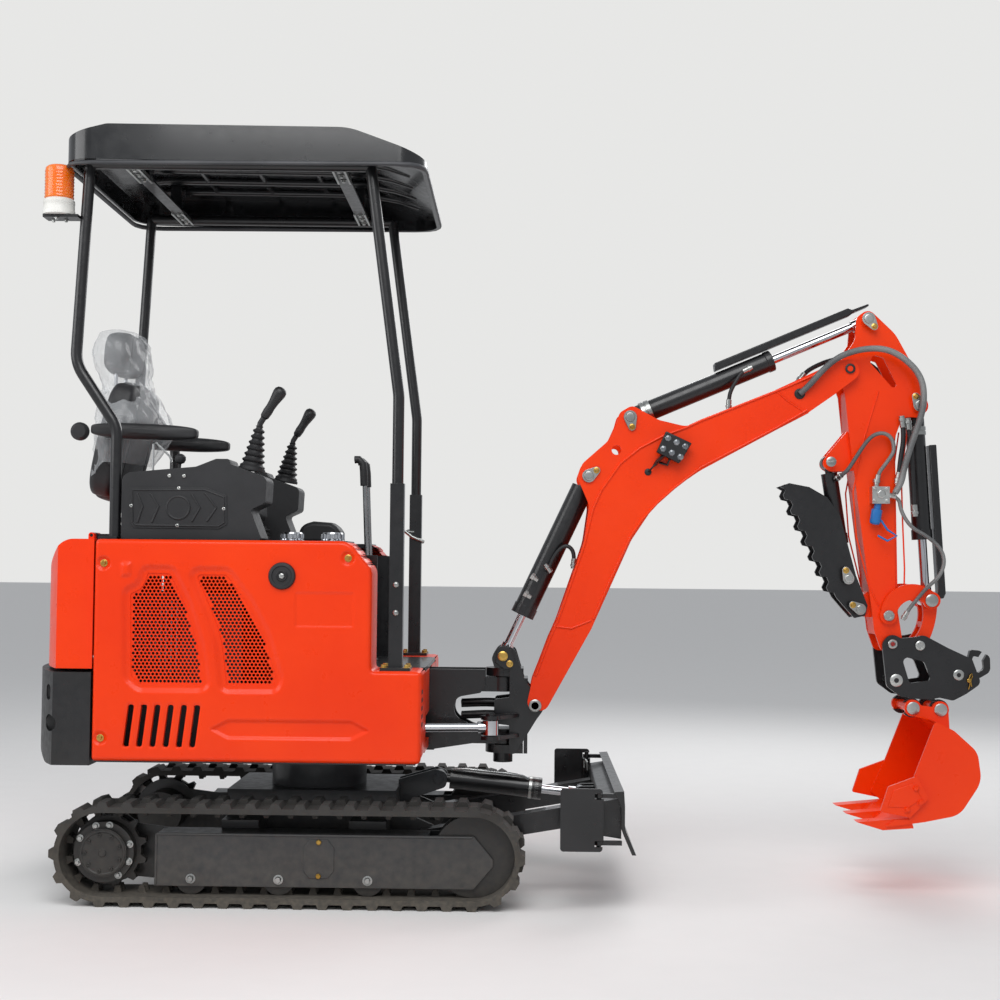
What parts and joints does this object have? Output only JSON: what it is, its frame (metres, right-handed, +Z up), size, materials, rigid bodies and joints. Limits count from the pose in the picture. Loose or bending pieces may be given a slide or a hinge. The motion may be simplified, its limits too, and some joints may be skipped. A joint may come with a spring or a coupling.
{
  "type": "mini excavator",
  "caption": "Compact tracked digger with a canopy, swing boom, hydraulic thumb, quick coupler, bucket and folding-wing dozer blade.",
  "frame": {"origin": "on the floor under the middle of the machine's box, boom and arm as parked", "axes": "+X forward along the tracks, +Y to the operator's left, +Z up"},
  "size_m": [2.9978, 0.98, 2.2959],
  "materials": {
    "orange_paint": "gloss orange-red enamel",
    "black_paint": "satin black powder coat",
    "track_rubber": "dark rubber, dusty",
    "castings": "black painted casting",
    "engine": "dark oily metal",
    "vinyl": "black grained vinyl",
    "black_plastic": "grained moulded plastic",
    "roof_plastic": "moulded dark grey plastic",
    "beacon_lens": "clear amber lens",
    "chrome_rod": "polished hard chrome"
  },
  "bodies": {
    "undercarriage": {"centre_frame": "black_paint", "track_frame_left": "black_paint", "track_frame_right": "black_paint", "rubber_track_left": "track_rubber", "rubber_track_right": "track_rubber", "travel_motors": "castings", "front_idlers": "castings", "track_rollers": "castings"},
    "house": {"upper_frame": "black_paint", "counterweight": "castings", "side_panel_left": "orange_paint", "side_panel_right": "orange_paint", "front_skirt": "orange_paint", "floor_plate": "black_paint", "engine_block": "engine", "seat": "vinyl", "headrest": "vinyl", "armrests": "black_plastic", "console_left": "black_plastic", "console_right": "black_plastic", "joysticks": "black_plastic", "travel_levers": "black_plastic", "canopy_frame": "black_paint", "canopy_roof": "roof_plastic", "beacon": "beacon_lens", "beacon_bracket": "black_paint"},
    "bucket": {"quick_coupler": "black_paint", "bucket": "orange_paint"},
    "rear_hood": {"rear_hood": "orange_paint"},
    "swing_post": {"swing_post": "black_paint"},
    "boom": {"boom": "orange_paint"},
    "arm": {"arm": "orange_paint"},
    "thumb": {"thumb": "black_paint"},
    "dozer_blade": {"dozer_blade": "black_paint"},
    "blade_wing_left": {"blade_wing_left": "black_paint"},
    "blade_wing_right": {"blade_wing_right": "black_paint"},
    "rocker_links": {"rocker_links": "orange_paint"},
    "push_link": {"push_link": "orange_paint"},
    "boom_cylinder_barrel": {"boom_cylinder_barrel": "black_paint"},
    "boom_cylinder_rod": {"boom_cylinder_rod": "chrome_rod"},
    "arm_cylinder_barrel": {"arm_cylinder_barrel": "black_paint"},
    "arm_cylinder_rod": {"arm_cylinder_rod": "chrome_rod"},
    "bucket_cylinder_barrel": {"bucket_cylinder_barrel": "black_paint"},
    "bucket_cylinder_rod": {"bucket_cylinder_rod": "chrome_rod"},
    "thumb_cylinder_barrel": {"thumb_cylinder_barrel": "black_paint"},
    "thumb_cylinder_rod": {"thumb_cylinder_rod": "chrome_rod"},
    "blade_cylinder_barrel": {"blade_cylinder_barrel": "black_paint"},
    "blade_cylinder_rod": {"blade_cylinder_rod": "chrome_rod"},
    "swing_cylinder_barrel": {"swing_cylinder_barrel": "black_paint"},
    "swing_cylinder_rod": {"swing_cylinder_rod": "chrome_rod"}
  },
  "joints": [
    {"name": "slew", "type": "hinge", "parent": "undercarriage", "child": "house", "pos_m": [-0.63686, 0, 0.404], "axis": [0, 0, 1], "continuous": true},
    {"name": "boom_swing", "type": "hinge", "parent": "house", "child": "swing_post", "pos_m": [-0.05086, 0, 0.54], "axis": [0, 0, 1], "range_deg": [-40, 60]},
    {"name": "boom", "type": "hinge", "parent": "swing_post", "child": "boom", "pos_m": [0.05014, 0, 0.556], "axis": [0, 1, 0], "range_deg": [-30, 60]},
    {"name": "arm", "type": "hinge", "parent": "boom", "child": "arm", "pos_m": [1.03814, 0, 1.629], "axis": [0, -1, 0], "range_deg": [-20, 70]},
    {"name": "bucket", "type": "hinge", "parent": "arm", "child": "bucket", "pos_m": [1.17314, 0, 0.76], "axis": [0, -1, 0], "range_deg": [-50, 60]},
    {"name": "thumb", "type": "hinge", "parent": "arm", "child": "thumb", "pos_m": [1.07614, 0, 0.868], "axis": [0, -1, 0], "range_deg": [0, 100]},
    {"name": "blade", "type": "hinge", "parent": "undercarriage", "child": "dozer_blade", "pos_m": [-0.27686, 0, 0.165], "axis": [0, -1, 0], "range_deg": [-30, 4]},
    {"name": "blade_wing_left", "type": "hinge", "parent": "dozer_blade", "child": "blade_wing_left", "pos_m": [0.23514, 0.464, 0.266], "axis": [0, 0, -1], "range_deg": [0, 90]},
    {"name": "blade_wing_right", "type": "hinge", "parent": "dozer_blade", "child": "blade_wing_right", "pos_m": [0.23514, -0.464, 0.266], "axis": [0, 0, 1], "range_deg": [0, 90]},
    {"name": "rear_hood", "type": "hinge", "parent": "house", "child": "rear_hood", "pos_m": [-1.29286, 0, 1.076], "axis": [0, 1, 0], "range_deg": [0, 60]},
    {"name": "boom_cylinder", "type": "hinge", "parent": "boom", "child": "boom_cylinder_barrel", "pos_m": [0.21414, 0, 1.282], "axis": [0, 1, 0], "range_deg": [-2.18, 3.86]},
    {"name": "boom_cylinder_stroke", "type": "slide", "parent": "boom_cylinder_barrel", "child": "boom_cylinder_rod", "axis": [-0.423, 0, -0.9061], "range_m": [-0.091, 0.181]},
    {"name": "arm_cylinder", "type": "hinge", "parent": "boom", "child": "arm_cylinder_barrel", "pos_m": [0.34414, 0, 1.47], "axis": [0, -1, 0], "range_deg": [-1.93, 5.5]},
    {"name": "arm_cylinder_stroke", "type": "slide", "parent": "arm_cylinder_barrel", "child": "arm_cylinder_rod", "axis": [0.921, 0, 0.3896], "range_m": [-0.1886, 0.0546]},
    {"name": "rocker_links", "type": "hinge", "parent": "arm", "child": "rocker_links", "pos_m": [1.16214, 0, 0.85], "axis": [0, -1, 0], "range_deg": [-37.37, 44.75]},
    {"name": "push_link", "type": "hinge", "parent": "rocker_links", "child": "push_link", "pos_m": [1.29714, 0, 0.899], "axis": [0, -1, 0], "range_deg": [-27.99, 23.41]},
    {"name": "bucket_cylinder", "type": "hinge", "parent": "arm", "child": "bucket_cylinder_barrel", "pos_m": [1.25914, 0, 1.516], "axis": [0, -1, 0], "range_deg": [-4.67, 3.98]},
    {"name": "bucket_cylinder_stroke", "type": "slide", "parent": "bucket_cylinder_barrel", "child": "bucket_cylinder_rod", "axis": [0.0615, 0, -0.9981], "range_m": [-0.0965, 0.0806]},
    {"name": "thumb_cylinder", "type": "hinge", "parent": "arm", "child": "thumb_cylinder_barrel", "pos_m": [0.98314, 0, 1.335], "axis": [0, -1, 0], "range_deg": [-13.35, 0.5]},
    {"name": "thumb_cylinder_stroke", "type": "slide", "parent": "thumb_cylinder_barrel", "child": "thumb_cylinder_rod", "axis": [0.1493, 0, -0.9888], "range_m": [-0.001, 0.1347]},
    {"name": "blade_cylinder", "type": "hinge", "parent": "undercarriage", "child": "blade_cylinder_barrel", "pos_m": [-0.25486, 0, 0.318], "axis": [0, -1, 0], "range_deg": [-29.12, 4.32]},
    {"name": "blade_cylinder_stroke", "type": "slide", "parent": "blade_cylinder_barrel", "child": "blade_cylinder_rod", "axis": [0.9949, 0, -0.101], "range_m": [-0.0116, 0.0804]},
    {"name": "swing_cylinder", "type": "hinge", "parent": "house", "child": "swing_cylinder_barrel", "pos_m": [-0.65186, -0.235, 0.493], "axis": [0, 0, 1], "range_deg": [-3.05, 2.2]},
    {"name": "swing_cylinder_stroke", "type": "slide", "parent": "swing_cylinder_barrel", "child": "swing_cylinder_rod", "axis": [0.9888, 0.149, 0], "range_m": [-0.0997, 0.1491]}
  ],
  "couplings": [
    {"joint": "boom_cylinder", "follows": "boom", "ratio": 0.05603},
    {"joint": "boom_cylinder_stroke", "follows": "boom", "m_per_rad": 0.1719},
    {"joint": "arm_cylinder", "follows": "arm", "ratio": 0.07139},
    {"joint": "arm_cylinder_stroke", "follows": "arm", "m_per_rad": -0.15356},
    {"joint": "rocker_links", "follows": "bucket", "ratio": 0.73743},
    {"joint": "push_link", "follows": "bucket", "ratio": -0.45815},
    {"joint": "bucket_cylinder", "follows": "bucket", "ratio": -0.06955},
    {"joint": "bucket_cylinder_stroke", "follows": "bucket", "m_per_rad": -0.09124},
    {"joint": "thumb_cylinder", "follows": "thumb", "ratio": -0.1285},
    {"joint": "thumb_cylinder_stroke", "follows": "thumb", "m_per_rad": 0.07661},
    {"joint": "blade_cylinder", "follows": "blade", "ratio": 0.95404},
    {"joint": "blade_cylinder_stroke", "follows": "blade", "m_per_rad": -0.15167},
    {"joint": "swing_cylinder", "follows": "boom_swing", "ratio": -0.04249},
    {"joint": "swing_cylinder_stroke", "follows": "boom_swing", "m_per_rad": 0.14143}
  ]
}
